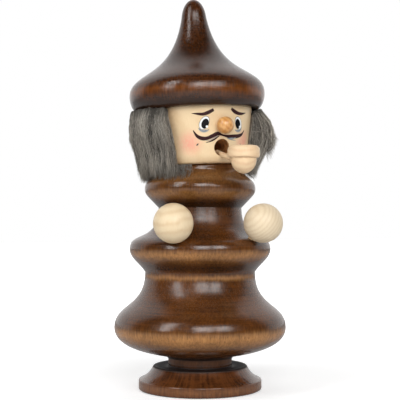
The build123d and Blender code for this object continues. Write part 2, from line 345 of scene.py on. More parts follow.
# %% Stained wood
def stained_wood(name, tones, light, dark, dull=(), streaks=0.0, polish=0.14, grain=0.36, depth=0.022):
    """tones are the dark, middle and golden colours. light, dark and dull are bands: where the stain is thin,
    where shade is painted in (and on the hat's tip, where the stain is darker), and where the lacquer is
    duller.
    """
    dark_tone, middle_tone, golden_tone = (colour(*tone) for tone in tones)
    look = Finish(name, IOR=1.5)
    cloud = look.noise(0.07, 3, (1, 1, 0.6)).step(0.3, 0.7)
    flecks = look.noise(1.1, 3, (1, 1, 0.14), 0.6).step(0.36, 0.66)
    rings = look.noise(1.5, 4, (0.015, 0.015, 1), 0.75).step(0.3, 0.7)
    pores = look.noise(2.9, 2, (1, 1, 0.13), 0.6).step(0.54, 0.68)
    # where the stain is thin, the edges wander and some stretches were sanded more
    wander = (look.noise(0.10, 2, (1, 1, 0.3)) - 0.5) * 1.6 + (look.noise(0.7, 3, (1, 1, 0.3)) - 0.5) * 2.4
    sanded = look.noise(0.06, 3, (1, 1, 0.5)).step(0.3, 0.7) * 0.45 + 0.72
    thin = (bands(look.z + wander, light) * (flecks * 0.32 + 0.74) * sanded).capped()
    plank = look.noise(0.22, 2, (1, 1, 0.02)).step(0.42, 0.6) * 0.5 + spokes(look) * 0.6
    wood = (cloud * 0.3 + flecks * grain + rings * 0.4 + plank * streaks).capped().mix(dark_tone, middle_tone)
    wood = thin.mix(wood, golden_tone)
    # the pores hold more stain; most dark bands are painted shade, in grooves, under the tiers and on the
    # foot's ring
    stain_and_shade = (pores * (thin * 0.35 + 0.25) + bands(look.z, dark)).capped()
    wood = stain_and_shade.mix(wood, [value * 0.55 for value in dark_tone[:3]] + [1])
    relief = rings * 0.5 + flecks * 0.4 + pores * -0.6 + look.noise(2.2, 2) * 0.6 + plank * streaks
    rough = (cloud * 0.04 + pores * 0.1 + bands(look.z, dull) + polish).capped(0.8)
    return look.set(Base_Color=wood, Roughness=rough, Normal=look.bump(relief, depth)).material


# %% Stain the three woods
robe_wood = stained_wood(
    "walnut_stain_robe", [(42, 21, 6), (102, 58, 22), (182, 128, 72)],
    light=[(108.0, 3.5, 0.35), (99.0, 2.2, 0.5), (69.2, 2.0, 0.66), (66.5, 3.0, 0.15), (57.9, 1.2, 0.55),
           (30.3, 2.2, 0.6), (27.4, 3.0, 0.48)],
    # the robe's dark bands are painted shade: in the groove under the shoulder tier, under the middle tier,
    # and on the underside over the foot
    dark=[(94.0, 2.2, 0.75), (63.0, 2.0, 0.6), (17.0, 2.2, 0.85)],
    dull=[(86.0, 8.0, 0.13), (50.0, 8.0, 0.08), (15.5, 1.6, 0.5)],
)
hat_wood = stained_wood(
    "walnut_stain_hat", [(30, 14, 4), (80, 42, 15), (160, 90, 30)],
    # the hat's band at 144 mm is painted shade on the brim's underside; the bands at 170 and 188 mm are
    # darker stain on the flare and tip
    light=[(150.6, 2.2, 0.36)], dark=[(144.0, 2.4, 0.7), (170.0, 9.0, 0.4), (188.0, 10.0, 0.25)],
    polish=0.11, grain=0.5, depth=0.04,
)
foot_wood = stained_wood(
    "walnut_stain_foot", [(36, 17, 7), (96, 54, 26), (160, 106, 62)],
    # the foot's dark band is painted shade and painted reflection: it makes the hollow ring round the neck
    # nearly black, like the robe's dark underside mirrored in it
    light=[(2.6, 1.8, 0.4), (14.8, 1.2, 0.35)], dark=[(11.9, 0.6, 1.0)],
    dull=[(15.0, 1.6, 0.45), (11.8, 0.5, 0.5)],
    streaks=0.8, grain=0.2, polish=0.13,
)
print("stained woods:", robe_wood.name, hat_wood.name, foot_wood.name)

# %% [markdown]
# ## The foot
#
# A disc with a cove, a short neck, and the spigot that the figure stands on. Sandpaper has softened the
# rim, so the outline has small round corners there. The ring round the neck is turned slightly hollow,
# so it mirrors the dark neck and not the bright room.

# %% Turn the foot
robe_base, spigot_top = 16.2, 24.2
spigot_radius, nail_hole_radius = 12.9, 0.85
foot = turned("turned_foot", [
    (0, 0),
    (30.6, 0, None, (0, 0.5)),
    (31.5, 0.9, (90, 0.5), None),
    (31.5, 4.5, None, (90, 0.45)),
    (30.9, 5.3, (160, 0.35), (159, 3.2)),
    (24.1, 11.6, (118, 3.9), (118, 0.4)),
    (23.2, 12.1, (180, 0.4), None),
    (17.1, 11.5, None, (180, 0.5)),
    (16.3, 12.3, (90, 0.5), None),
    (16.3, robe_base),
    (spigot_radius, robe_base),
    (spigot_radius, spigot_top - 0.8),
    (spigot_radius - 0.8, spigot_top),
    (nail_hole_radius, spigot_top),
    (nail_hole_radius, spigot_top - 7.05),
    (0, spigot_top - 7.05),
])
finish(foot, "stained_wood", foot_wood, "foot", body="foot")

# %% [markdown]
# ## The robe
#
# One turning makes three tiers: a wide skirt, a middle and a shoulder tier, with a round waist between
# them. The outline is closed, because the robe is hollow: it runs up the outside, down the socket for
# the head, down the smoke channel and out round the burn chamber.

# %% Turn the robe
seam, socket_floor, chamber_top = 114.2, 102.15, 60.2
chamber_radius, channel_radius, socket_radius = 13.0, 5.0, 9.05
robe = turned("turned_robe", [
    (chamber_radius, robe_base),
    (16.9, robe_base),
    (17.4, 17.3, None, (9, 13.6)),
    (44.0, 31.7, (90, 9.0), (90, 11.9)),
    (28.2, 59.8, (90, 18.2), (58, 5.3)),
    (36.2, 71.9, (90, 5.1), (90, 9.0)),
    (21.3, 92.7, (90, 18.0), (46, 9.6)),
    (28.5, 102.7, (90, 2.9), (90, 5.1)),
    (21.6, 112.7, (90, 4.0), (90, 0.5)),
    (20.6, seam, (180, 0.6), None),
    (socket_radius, seam),
    (socket_radius, socket_floor),
    (channel_radius, socket_floor),
    (channel_radius, chamber_top),
    (chamber_radius, chamber_top),
], closed=True, steps=192)

# %% [markdown]
# The head leans a little, so the robe's top is cut at that slant. The rings there are selected by their
# height and turned about the seam. The slant's axis lies between X and Y, so the points are turned to it,
# leaned and turned back. In a background Blender, Rotate needs its centre as an argument and turns the
# other way, so the angles change their sign.

# %% Lean the robe's top
lean, lean_towards = radians(2.4), radians(-117)
seam_place = Vector((0, 0, seam)) * mm
lean_axis = Vector((cos(lean_towards), sin(lean_towards), 0))
lean_matrix = (
    Matrix.Translation(seam_place) @ Matrix.Rotation(lean, 4, lean_axis) @ Matrix.Translation(-seam_place)
)
edit(robe)
bpy.ops.mesh.select_all(action="DESELECT")
bpy.ops.object.mode_set(mode="OBJECT")
for vertex in robe.data.vertices:
    radius, height = vertex.co.xy.length / mm, vertex.co.z / mm
    in_socket = height > socket_floor - 0.25 and radius < socket_radius + 0.45
    vertex.select = in_socket or height > seam - 1.2
leaned = [vertex.index for vertex in robe.data.vertices if vertex.select]
wanted = lean_matrix @ robe.data.vertices[leaned[0]].co
bpy.ops.object.mode_set(mode="EDIT")
for angle, axis in ((-lean_towards, "Z"), (lean, "X"), (lean_towards, "Z")):
    bpy.ops.transform.rotate(value=-angle, orient_axis=axis, center_override=seam_place)
bpy.ops.object.mode_set(mode="OBJECT")
miss = (robe.data.vertices[leaned[0]].co - wanted).length / mm
print(f"{len(leaned)} points leaned, {miss:.4f} mm from where the matrix puts them")

# %% [markdown]
# Then the drill: an air vent at the back, and for each hand a shallow spot with a dowel hole in it. The
# hands' places are worked out from their angle round the figure.

# %% Drill the vent and the seats of the hands
hand_angles = {"right": -46, "left": 25}
hand_radius, hand_away, hand_height, hand_slope = 9.7, 39.4, robe_base + 68.7, radians(49)
vent_radius, vent_height = 3.25, 31.0


def hand_place(angle):
    """A hand's centre, and the direction from the robe into the hand."""
    out = Vector((sin(radians(angle)), -cos(radians(angle)), 0))
    up = Vector((0, 0, 1))
    return out * hand_away + up * hand_height, out * cos(hand_slope) + up * sin(hand_slope)


def dowel_hole(centre, direction):
    """A cutter for the dowel that joins a hand to the robe."""
    return cylinder("dowel_hole", 2.05, 14.1, centre - direction * 16.75, direction, 32)


cut(robe, cylinder("vent", vent_radius, 40, (0, 5, vent_height), (0, 1, 0)))
for angle in hand_angles.values():
    centre, direction = hand_place(angle)
    cut(robe, ball("spot", hand_radius + 0.05, centre))
    cut(robe, dowel_hole(centre, direction))
finish(robe, "stained_wood", robe_wood, "robe")

# %% [markdown]
# ## The hat
#
# A brim with a full round edge, a long hollow flare and a rounded tip. It is drawn upright over the head
# and then leaned with it. The same is done for every piece of the head, so one helper leans them.

# %% Turn the hat
def lean_over(piece):
    """Leans a piece with the head, about the middle of the seam."""
    apply_place(piece)
    piece.data.transform(lean_matrix)
    return piece


head_height = 28.1
crown = seam + head_height
hat_hole_radius, hat_hole_depth = 4.05, 7.55
hat = turned("turned_hat", [
    (hat_hole_radius, crown + hat_hole_depth),
    (hat_hole_radius, crown),
    (30.2, crown, None, (0, 2.4)),
    (34.85, crown + 8.4, (90, 4.6), (90, 4.5)),
    (28.15, crown + 17.9, (147, 4.75), (145, 7.3)),
    (6.45, crown + 48.4, (101, 22.3), (96, 7.1)),
    (0, crown + 58.1, (180, 2.5), None),
    (0, crown + hat_hole_depth),
], resolution=18)
finish(lean_over(hat), "stained_wood", hat_wood, "hat")

# %% [markdown]
# ## Pale wood
#
# Head and hands are maple, only sanded and given a thin satin lacquer. Year rings are cylinders round
# the tree's axis, so on a ball they show as arcs and stripes. Each piece has its own tree axis, so two
# balls from one rod look different.

# %% Pale wood with year rings
def year_rings(look, centre, axis, spacing):
    """Stripes from 0 to 1, as rings round an axis through a centre. Sizes are in millimetres."""
    turn = Vector(axis).normalized().rotation_difference(Vector((0, 0, 1))).to_euler()
    inputs = {"Vector": look.place.vector("SUBTRACT", centre), "Rotation": turn}
    x, y, z = look.node("ShaderNodeMapping", inputs).parts()
    distance = from_axis(x, y) + look.noise(0.12, 2) * spacing * 0.9
    return ((distance * (2 * pi / spacing)).math("SINE") * 0.5 + 0.5) ** 1.6


def pale_wood(name, light, ringed, centre, axis, spacing, strength, depth=0.01):
    """Wood under a satin lacquer. The colour stays at hand as wood, for what is sprayed over it."""
    look = Finish(name, Roughness=0.48, IOR=1.46, Coat_Weight=0.12, Coat_Roughness=0.3)
    rings = year_rings(look, centre, axis, spacing)
    fibre = look.noise(2.6, 3, (1, 1, 0.12), 0.6)
    look.wood = (rings * strength + fibre.step(0.3, 0.8) * 0.25).mix(colour(*light), colour(*ringed))
    return look.set(Base_Color=look.wood, Normal=look.bump(fibre, depth))


hand_looks = {
    "right": pale_wood(
        "maple_right_hand", (232, 211, 176), (208, 176, 132), (-28, -27, 112), (1, 0.4, 0.1), 4.6, 0.4
    ),
    "left": pale_wood(
        "maple_left_hand", (230, 212, 182), (206, 180, 142), (60, -30, 50), (0.5, 0.3, 0.9), 1.7, 0.36
    ),
}
print("pale woods:", ", ".join(look.material.name for look in hand_looks.values()))

# %% [markdown]
# ## The hands
#
# Two bought-in balls of just under 20 mm, drilled for a dowel. A UV sphere is pinched at its poles, so an
# icosphere with many subdivisions is the better start.

# %% Make the hands
for side, angle in hand_angles.items():
    centre, direction = hand_place(angle)
    sizes = {"subdivisions": 6, "radius": hand_radius * mm}
    hand = add(f"ball_{side}_hand", bpy.ops.mesh.primitive_ico_sphere_add, location=centre * mm, **sizes)
    bpy.ops.object.shade_smooth()
    apply_place(hand)
    cut(hand, dowel_hole(centre, direction))
    finish(hand, "pale_wood", hand_looks[side].material, f"{side}_hand")

# %% [markdown]
# ## The head
#
# A slightly conical block with a tenon below. The smoke channel comes up through the tenon and meets the
# mouth, which is a plain bore. The block is turned upright, and drilled and painted before it leans.

# %% Turn and drill the head
head_low, head_widening = 23.7, 4.1
tenon_radius, tenon_length, head_channel_radius, channel_end = 9.0, 12, 4.5, seam + 13.4
head = turned("turned_head", [
    (0, channel_end),
    (head_channel_radius, channel_end),
    (head_channel_radius, seam - tenon_length),
    (tenon_radius, seam - tenon_length),
    (tenon_radius, seam),
    (22.4, seam, None, (0, 0.7)),
    (23.85, seam + 1.3, (82, 0.7), None),
    (head_low + head_widening, crown),
    (hat_hole_radius, crown),
    (hat_hole_radius, crown - hat_hole_depth),
    (0, crown - hat_hole_depth),
], steps=192)


def head_radius(height):
    """The head's radius at a height over the seam."""
    return head_low + head_widening * height / head_height


mouth_radius, mouth_centre = 4.25, Vector((0, 0, seam + 7.65))
nose_radius, nose_height = 4.25, 18.3
nose_centre = Vector((0, -head_radius(nose_height) - 2.6, seam + nose_height))
cut(head, cylinder("mouth_bore", mouth_radius, 40, mouth_centre, (0, -1, 0)))
cut(head, ball("nose_seat", nose_radius + 0.05, nose_centre))
cut(head, cylinder("peg_hole", 2.05, 10.3, nose_centre, (0, 1, 0), 32))
print("head:", len(head.data.polygons), "faces")

# %% [markdown]
# The face's finish carries what was sprayed on: a pink blush on each cheek and the grey-blue shadow
# under each eye. They are soft, so they belong in the shader. The head leans after it is painted, so the
# spots' centres are leaned too.

# %% Spray the blush and the shadows
face = pale_wood(
    "maple_face", (230, 204, 164), (214, 182, 138), (0, 60, 120), (0.1, 0.1, 1), 5.5, 0.35, 0.012
)


def soft_spot(look, angle, height, radius, stretch=(1, 1, 1)):
    """1 at a place on the leaned head, and falling softly to 0 at the radius.

    The place is given in degrees round the head and millimetres over the seam.
    """
    side, front = sin(radians(angle)), -cos(radians(angle))
    centre = Vector((side * head_radius(height), front * head_radius(height), seam + height))
    away = look.place.vector("SUBTRACT", lean_matrix @ (centre * mm) / mm).vector("MULTIPLY", stretch)
    return 1 - away.vector("LENGTH", output=1).step(0, radius)


wood = face.wood
mottle = face.noise(1.2, 4, (1, 1, 0.5), 0.7).step(0.25, 0.75) * 0.6 + 0.35
for angle in (-37.5, 34.0):
    wood = (soft_spot(face, angle, 10.2, 8.5) * mottle).capped(0.7).mix(wood, colour(236, 150, 132))
for angle in (-21.5, 23.0):
    wood = (soft_spot(face, angle, 16.2, 3.8, (1, 1, 1.9)) * 0.6).mix(wood, colour(150, 156, 152))
print("sprayed:", face.material.name)

# %% [markdown]
# Painted shade browns the wood by the fur, where the fur casts its shadow, and along the lower edge, which
# faces down. Smoke has browned the mouth. The mouth is found by its place, which is nearer to the axis than
# the head's tapered wall.

# %% Painted shade and scorch
head_taper = 0.146
radius = from_axis(face.x, face.y)
# painted shadow of the fur on the face's sides, and painted shade along the lower edge, mottled by noise
fur_shadow = 1 - (face.y * -1 / radius).step(0.46, 0.72)
low = 1 - face.z.step(seam + 0.2, seam + 5.5)
fur_and_edge_shade = (fur_shadow * 0.7 + low * 0.45) * (face.noise(0.8, 3) * 0.6 + 0.6)
wood = fur_and_edge_shade.capped(0.7).mix(wood, colour(150, 112, 76))
inside = 1 - (radius - (face.z - seam) * head_taper).step(22.4, 23.0)
mouth_heights = (1 - face.z.step(seam + 13.5, seam + 13.9)) * face.z.step(seam - 0.5, seam + 0.5)
scorch = face.noise(0.5, 3).step(0.3, 0.7).mix(colour(140, 94, 54), colour(204, 146, 92))
face.set(Base_Color=(inside * mouth_heights).mix(wood, scorch))
print("worn and scorched:", face.material.name)

# %% [markdown]
# ## Painting the face
#
# The features are brush strokes with a crisp edge. Each stroke starts as a flat grid in front of the
# face: its length follows a path, and its width swells and thins as the brush was pressed. A Shrinkwrap
# modifier then throws it back on the head, and Solidify gives it the thickness of a coat of paint.

# %% Lay paint on the head
def flat_grid(name, across, up):
    return add(name, bpy.ops.mesh.primitive_grid_add, x_subdivisions=across, y_subdivisions=up, size=2)


def front_view(angle, height):
    """Where a spot on the head shows from the front, in millimetres."""
    return np.array((head_radius(height) * sin(radians(angle)), seam + height))


def lay_on_head(patch, layer):
    """Throws a flat patch back on the head, and gives it a thickness."""
    select(patch)
    wrap = patch.modifiers.new("Wrap", "SHRINKWRAP")
    wrap.target, wrap.wrap_method = head, "PROJECT"
    wrap.use_project_y, wrap.use_positive_direction, wrap.use_negative_direction = True, True, False
    wrap.wrap_mode, wrap.offset = "ABOVE_SURFACE", layer * 0.03 * mm
    coat = patch.modifiers.new("Coat", "SOLIDIFY")
    coat.thickness, coat.offset = 0.025 * mm, 0
    for modifier in list(patch.modifiers):
        bpy.ops.object.modifier_apply(modifier=modifier.name)
    bpy.ops.object.shade_smooth_by_angle(angle=crease)
    return patch


# %% [markdown]
# A stroke's grid is bent along a smooth curve. A dab, as for an eye, is a grid with its square made round.

# %% A brush stroke and a dab
before_face = -40  # where flat paint starts, in millimetres along Y


def along(points, share):
    """The place at a share of the way along points, on a smooth curve through them."""
    points = [points[0], *points, points[-1]]
    at = min(share, 0.99999) * (len(points) - 3)
    first, t = int(at), at % 1
    a, b, c, d = (np.array(point, float) for point in points[first:first + 4])
    bend, turn = 2 * a - 5 * b + 4 * c - d, 3 * b - a - 3 * c + d
    return 0.5 * (2 * b + (c - a) * t + bend * t * t + turn * t ** 3)


def brush_stroke(name, layer, *path):
    """path is a row of (degrees round the head, height over the seam, width of the stroke)."""
    stroke = flat_grid(name, 60, 6)
    path = [(*front_view(angle, height), width) for angle, height, width in path]
    for vertex in stroke.data.vertices:
        share = (vertex.co.x + 1) / 2
        x, z, width = along(path, share)
        ahead, behind = along(path, min(share + 0.01, 1)), along(path, max(share - 0.01, 0))
        run = Vector((ahead[0] - behind[0], ahead[1] - behind[1])).normalized()
        off = vertex.co.y * width / 2
        vertex.co = Vector((x - run.y * off, before_face, z + run.x * off)) * mm
    return lay_on_head(stroke, layer)


def dab(name, layer, angle, height, wide, high, tilt=0):
    """An oval dab of paint, whose top leans by tilt towards the figure's left."""
    patch = flat_grid(name, 16, 16)
    x, z = front_view(angle, height)
    for vertex in patch.data.vertices:
        u, v = vertex.co.x, vertex.co.y
        across = u * (1 - v * v / 2) ** 0.5 * wide / 2
        up = v * (1 - u * u / 2) ** 0.5 * high / 2
        vertex.co = Vector((x + across + up * sin(radians(tilt)), before_face, z + up)) * mm
    return lay_on_head(patch, layer)


# %% [markdown]
# Paints are simple: a colour, a soft gloss, and a faint unevenness where the brush left more or less.

# %% Mix the paints
def paint(name, thick, thin, roughness=0.35):
    look = Finish(name, Roughness=roughness, IOR=1.25)
    cover = look.noise(1.6, 3).step(0.3, 0.75)
    tint = cover.mix(colour(*thick), colour(*thin))
    return look.set(Base_Color=tint, Normal=look.bump(cover, 0.006)).material


brown_paint = paint("paint_brown", (40, 20, 24), (66, 36, 34))
black_paint = paint("paint_black", (4, 4, 8), (12, 12, 18), 0.08)
white_paint = paint("paint_white", (240, 240, 238), (226, 228, 230))
lash_paint = paint("paint_lash_line", (64, 54, 54), (104, 90, 84))
grey_paint = paint("paint_grey", (150, 142, 134), (186, 176, 162))
blue_paint = paint("paint_blue_grey", (112, 122, 134), (156, 160, 160))
print("six paints, the darkest", black_paint.name)

# %% [markdown]
# An eye is four dabs over one another: a dark rim, the white, the pupil, and a speck of light.

# %% Paint the eyes
strokes = []
for side, angle, tilt, toward_nose in (("right", -20.7, 14, 0.9), ("left", 21.6, -12, -0.9)):
    strokes += [
        (dab(f"eye_rim_{side}", 1, angle, 19.8, 4.65, 6.5, tilt), lash_paint),
        (dab(f"eye_white_{side}", 2, angle, 19.75, 4.3, 6.15, tilt), white_paint),
        (dab(f"eye_pupil_{side}", 3, angle + toward_nose, 19.35, 3.45, 4.8, tilt / 2), black_paint),
        (dab(f"eye_light_{side}", 4, angle + 2.7, 17.9, 1.1, 1.3), white_paint),
    ]
print(len(strokes), "dabs for two eyes")

# %% [markdown]
# Brows, moustache and lip are brown, and paler strokes give them shine and shadow. Each row is one
# stroke: its name, its layer and its path.

# %% Paint the brows, the moustache and the laugh lines
painted = {brown_paint: [
    ("brow_right", 2, (-33.5, 24.6, 0.2), (-27, 24.2, 1.1), (-21.8, 24.0, 1.5), (-16.6, 24.7, 1.8),
     (-10.6, 26.1, 1.5)),
    ("brow_left", 2, (9.9, 26.7, 1.3), (14.7, 25.3, 1.9), (20.5, 24.5, 1.6), (26.9, 24.5, 1.2),
     (33.9, 25.1, 0.2)),
    ("moustache_right", 2, (-33.0, 16.3, 0.3), (-30.8, 14.6, 0.9), (-27.8, 13.1, 1.5), (-23.0, 12.2, 1.9),
     (-17.5, 12.3, 1.7), (-11.3, 13.4, 1.9), (-6.0, 14.4, 1.9), (-1.5, 13.9, 1.0), (1.5, 13.6, 0.5)),
    ("moustache_left", 2, (-0.5, 13.6, 0.5), (2.5, 13.4, 0.9), (8.0, 13.0, 1.5), (14.5, 13.1, 1.9),
     (21.5, 13.3, 1.9), (27.5, 14.0, 1.5), (31.0, 15.0, 0.9), (33.6, 16.4, 0.3)),
    ("lip_right", 2, (-4.0, 13.4, 0.4), (-9.4, 11.7, 0.8), (-14.2, 10.7, 0.6), (-19.5, 10.1, 0.2)),
], grey_paint: [
    ("shine_right", 3, (-19.5, 11.0, 0.2), (-14.2, 11.4, 0.4), (-9.4, 12.5, 0.4), (-5.5, 13.3, 0.2)),
], blue_paint: [
    ("shine_left", 3, (6.0, 12.1, 0.2), (10.5, 12.1, 0.6), (15.5, 12.2, 0.5), (19.0, 12.6, 0.2)),
    ("lip_left", 2, (8.0, 11.8, 0.2), (13.0, 11.4, 0.4), (18.6, 11.2, 0.2)),
    ("tear_right", 1, (-27.2, 17.4, 0.2), (-25.0, 16.3, 0.8), (-21.5, 15.7, 1.1), (-17.5, 16.0, 0.7),
     (-15.8, 16.6, 0.2)),
    ("tear_left", 1, (16.8, 16.5, 0.2), (19.0, 15.9, 0.7), (22.5, 15.9, 1.1), (26.0, 16.7, 0.8),
     (27.8, 17.8, 0.2)),
], lash_paint: [
    ("laugh_line_right", 2, (-27.8, 9.9, 0.2), (-29.0, 9.3, 0.7), (-30.2, 8.8, 0.2)),
    ("laugh_line_left", 2, (27.4, 9.8, 0.2), (28.2, 9.1, 0.4), (28.8, 8.4, 0.2)),
]}
strokes += [(brush_stroke(*row), material) for material, rows in painted.items() for row in rows]
for stroke, material in strokes:
    finish(lean_over(stroke), "pale_wood", material)
finish(lean_over(head), "pale_wood", face.material, "head")

# %% [markdown]
# ## Nose, pipe and the small hidden pieces
#
# The nose is a tinted ball with a peg.

# %% Make the nose
nose_look = Finish("tinted_nose", Roughness=0.3, IOR=1.5, Coat_Weight=0.6, Coat_Roughness=0.18)
grain = nose_look.noise(1.1, 3, (1, 1, 0.3)).step(0.3, 0.75)
rings = year_rings(nose_look, (10, -28, 150), (0.2, 1, 0.3), 2.2)
tint = (grain * 0.6 + rings * 0.4).mix(colour(224, 170, 104), colour(192, 126, 62))
nose_look.set(Base_Color=tint, Normal=nose_look.bump(grain, 0.01))
peg_radius = 2.0
nose = turned("ball_nose", [
    (0, -10.25),
    (peg_radius, -10.25),
    (peg_radius, -3.75, None, (-31, 0.2)),
    (nose_radius, 0, (90, 2.1), (90, 2.35)),
    (0, nose_radius, (180, 2.35), None),
], steps=96)
nose.rotation_euler = (radians(90), 0, 0)
nose.location = nose_centre * mm
finish(lean_over(nose), "orange_wood", nose_look.material, "nose")

# %% [markdown]
# The pipe's bowl is a turning like an acorn with a fat ring. Its stem is a thin dowel, which lies in the
# mouth, runs free, and ends in a hole of the bowl. Both are drawn where they stand, so they don't lean.

# %% Turn the pipe's bowl and stem
pipe_look = pale_wood(
    "maple_pipe", (232, 203, 164), (216, 174, 134), (12, -30, 80), (1, 0.2, 0.4), 3.0, 0.4
)
pipe_side = -0.167
bowl = turned("turned_pipe_bowl", [
    (0, 115.9), (4.4, 115.9), (4.4, 121.2), (5.0, 121.9), (5.4, 121.9, None, (0, 1.3)),
    (7.7, 119.6, (-90, 1.3), None), (7.7, 117.1, None, (-90, 0.6)), (6.6, 116.0, (180, 0.6), None),
    (6.2, 116.0, None, (-90, 4.7)), (0, 108.4, (187, 3.6), None),
], steps=96)
bowl.location = Vector((pipe_side, -46.0, 0)) * mm
apply_place(bowl)
stem_start = Vector((pipe_side, -24.111, 118.906))
stem_direction = Vector((0, -0.9659, -0.2588))
in_mouth, free, in_bowl = 5.5, 16.25, 2.0
cut(bowl, cylinder("stem_hole", 1.3, free + in_bowl + 0.05, stem_start, stem_direction, 32))
finish(bowl, "pipe_wood", pipe_look.material, "pipe_bowl")
stem_length, stem_end = in_mouth + free + in_bowl, stem_start - stem_direction * in_mouth
stem = cylinder("pipe_stem_dowel", 1.25, stem_length, stem_end, stem_direction, 48)
edit(stem)
bpy.ops.mesh.bevel(offset=0.15 * mm, segments=2)
bpy.ops.object.mode_set(mode="OBJECT")
bpy.ops.object.shade_smooth_by_angle(angle=crease)
finish(stem, "pipe_wood", pipe_look.material, "pipe_stem")

# %% [markdown]
# Inside, out of sight until the figure is lifted off, a pressed dish for the cone lies under a nail. The
# dowels and the leather under the wig are hidden too. Their CAD shapes are right and only get a finish.

# %% Finish the hidden pieces
metal = Finish("pressed_dish", Metallic=1.0, Roughness=0.42)
soot = metal.noise(0.35, 4).step(0.4, 0.8)
sooty = (soot * 0.6).mix(colour(172, 168, 160), colour(70, 62, 54))
metal.set(Base_Color=sooty, Normal=metal.bump(soot, 0.02))
steel = Finish("nail_steel_bright", Metallic=1.0, Roughness=0.3)
steel.set(Base_Color=steel.noise(1.2, 3).mix(colour(190, 190, 192), colour(120, 116, 112)))
leather = Finish("pelt_suede", Roughness=0.9)
nap = leather.noise(1.5, 4).step(0.3, 0.7)
leather.set(Base_Color=nap.mix(colour(92, 84, 76), colour(128, 116, 102)), Normal=leather.bump(nap, 0.05))
beech = pale_wood("beech_dowel", (232, 200, 156), (206, 166, 118), (30, 0, 90), (0.2, 0.1, 1), 3.0, 0.5)
hidden = {
    "incense_plate": metal, "plate_pin": steel, "hair_pelt": leather,
    "hat_dowel": beech, "right_hand_dowel": beech, "left_hand_dowel": beech,
}
for name, look in hidden.items():
    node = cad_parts[name]
    node.data.materials.clear()
    node.data.materials.append(look.material)
    print(name, "keeps its CAD shape, in", look.material.name)

# %% [markdown]
# ## The wig
#
# The wig is a strip of long grey fur glued round the back of the head, from temple to temple. It hangs in
# locks, whose strands lean together at their tips. A Blender hair system wouldn't be kept as geometry, so
# each strand is a thin three-sided tube. Under them lies a dark undercoat, so that no leather shows; its dark
# colour is painted shade of the deep fur.

# %% The undercoat
fur_start, fur_turn = 62, 236
fur = Finish("fur_undercoat", Roughness=0.95)
tuft = fur.noise(1.2, 4, (1, 1, 0.25), 0.7).step(0.3, 0.72)
# the undercoat's dark colour is painted shade between the strands
fur.set(Base_Color=tuft.mix(colour(24, 22, 20), colour(62, 58, 54)), Normal=fur.bump(tuft, 0.8))
undercoat = draw_outline("fur_undercoat_form", [
    (25.6, seam + 3.0), (28.4, seam - 1.0), (30.2, seam + 2.5, None, (75, 6)),
    (33.6, seam + 18, (88, 5), (90, 4)), (31.6, seam + 26.8, (155, 3), None), (28.6, seam + 27.4),
], closed=True, resolution=8)
undercoat.rotation_euler = (0, 0, radians(fur_start - 90))
apply_place(undercoat)
spin(undercoat, steps=64, turn=radians(-fur_turn))
print(f"undercoat: {fur_turn} degrees round the head")


# %% [markdown]
# The strands are some 12,000, which is too many for operators, so all are worked out at once in arrays,
# from seeded random numbers.
#
# First comes the room that the fur fills: it lies over the head and the collar, its outer form follows
# the photograph on both sides, and at the top it swells up against the round edge of the brim.

# %% The room for the fur
wig_heights = [-12, -6, -2, 2, 6, 10, 14, 19, 23, 27, 30]
wig_right = [30.2, 30.9, 31.4, 31.8, 32.2, 33.3, 34.5, 35.0, 35.2, 34.6, 33.6]
wig_left = [28.5, 29.0, 29.6, 31.8, 33.8, 35.2, 36.6, 37.4, 36.9, 35.8, 34.8]
collar_heights = [-14, -11.5, -10, -8, -5.8, -4, -2, 0]
collar_radii = [27.8, 28.5, 28.3, 27.3, 25.1, 23.2, 21.9, 21.6]


def smooth_line(at, places, values):
    """Values between places, with the corners rounded off."""
    return sum(np.interp(at + shift, places, values) for shift in (-2.4, -0.8, 0.8, 2.4)) / 4


def fur_room(angle, height):
    """The inner and outer radius of the fur, at degrees round the head and millimetres over the seam."""
    inner = 24.6 + head_taper * np.maximum(height, 0)
    inner = np.maximum(inner, np.interp(height, collar_heights, collar_radii) + 0.4)
    on_left = np.clip((240 - angle) / 120, 0, 1)
    outer = smooth_line(height, wig_heights, wig_left) * on_left
    outer = outer + smooth_line(height, wig_heights, wig_right) * (1 - on_left)
    return inner, np.maximum(outer, inner + 1)


# %% [markdown]
# Then each strand gets its plan. Strands stand in locks, which share a depth, a length and a tone. The
# wig has two layers on each side: a long one below, and one on top of which some locks are short.

# %% Plan the strands
highest_root, lowest_root, lowest_tip, shortest = 26.8, 5.0, -9.2, 7


